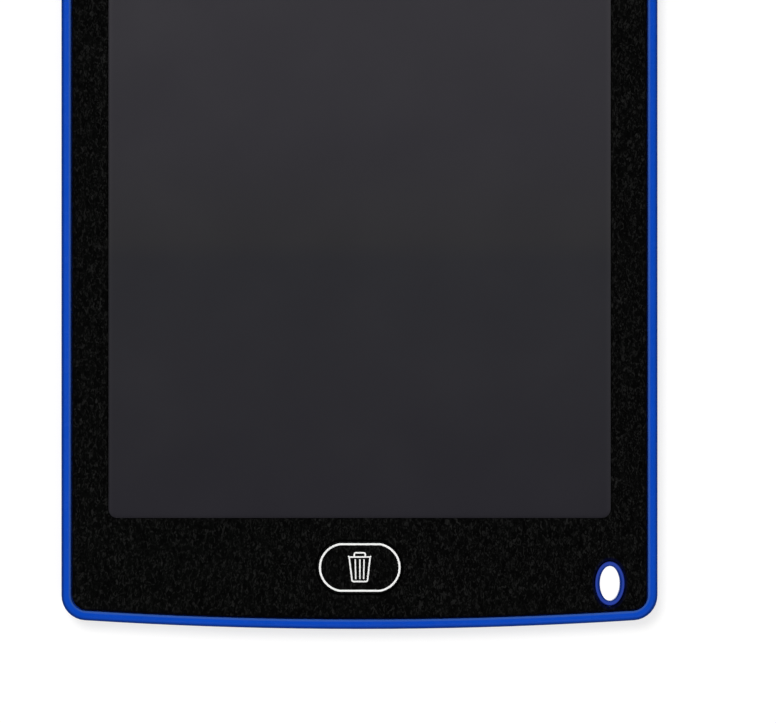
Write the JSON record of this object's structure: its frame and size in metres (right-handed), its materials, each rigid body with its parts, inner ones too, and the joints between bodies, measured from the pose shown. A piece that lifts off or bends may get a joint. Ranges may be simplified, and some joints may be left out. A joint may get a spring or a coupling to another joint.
{
  "type": "lcd writing tablet",
  "caption": "Slim LCD writing tablet with a film screen, erase button, oval lanyard hole, stylus bay along the top edge, and a battery door and lock slide on the back.",
  "frame": {"origin": "middle of the outline, on the flat back face", "axes": "+Z out of the screen, +Y up the screen towards the stylus, +X to the right seen from the front"},
  "size_m": [0.145, 0.225, 0.006],
  "materials": {
    "shell_blue": "satin moulded ABS",
    "panel_black": "fine-grained matt",
    "button_black": "fine-grained matt with a white printed outline and symbol",
    "film_grey": "satin film",
    "tape_white": "double-sided adhesive tape",
    "support_black": "rolled sheet",
    "tail_amber": "polyimide film",
    "connector_ivory": "moulded nylon",
    "part_grey": "moulded",
    "part_black": "moulded",
    "board_green": "solder mask on laminate",
    "capacitor_tan": "fired ceramic",
    "screw_steel": "zinc plated",
    "contact_nickel": "nickel plated sheet",
    "cell_steel": "polished sheet",
    "lead_red": "insulated wire",
    "lead_black": "insulated wire",
    "tip_black": "moulded"
  },
  "bodies": {
    "tablet": {"back_shell": "shell_blue", "front_panel": "panel_black", "panel_tape": "tape_white", "lcd_film": "film_grey", "film_tape": "tape_white", "support_plate": "support_black", "film_tail": "tail_amber", "tail_connector": "connector_ivory", "switch_housing": "part_grey", "circuit_board": "board_green", "board_screw_1": "screw_steel", "board_screw_2": "screw_steel", "driver_chip": "part_black", "inductor": "part_grey", "capacitor_1": "capacitor_tan", "capacitor_2": "capacitor_tan", "capacitor_3": "capacitor_tan", "resistor_1": "part_black", "resistor_2": "part_black", "lock_switch_body": "contact_nickel", "coin_cell": "cell_steel", "cell_contact_negative": "contact_nickel", "cell_contact_positive": "contact_nickel", "battery_lead_negative": "lead_black", "battery_lead_positive": "lead_red"},
    "button": {"erase_button": "button_black", "switch_plunger": "connector_ivory"},
    "lock": {"lock_slider": "part_black", "lock_actuator": "part_black"},
    "door": {"battery_door": "shell_blue"},
    "screw": {"door_screw": "screw_steel"},
    "stylus": {"stylus_barrel": "shell_blue", "stylus_tip": "tip_black", "stylus_cap": "tip_black"}
  },
  "joints": [
    {"name": "erase_button_press", "type": "slide", "parent": "tablet", "child": "button", "axis": [0, 0, -1], "range_m": [0, 0.0003], "stiffness_N_per_m": 1000},
    {"name": "lock_slide", "type": "slide", "parent": "tablet", "child": "lock", "axis": [1, 0, 0], "range_m": [0, 0.0025]},
    {"name": "battery_door_swing", "type": "hinge", "parent": "tablet", "child": "door", "pos_m": [-0.0465, -0.09867, 0], "axis": [0, 1, 0], "range_deg": [0, 60]},
    {"name": "door_screw_turn", "type": "hinge", "parent": "door", "child": "screw", "pos_m": [-0.019, -0.09867, 0], "axis": [0, 0, -1], "continuous": true},
    {"name": "stylus_pull", "type": "slide", "parent": "tablet", "child": "stylus", "axis": [0, 1, 0], "range_m": [0, 0.03]}
  ]
}
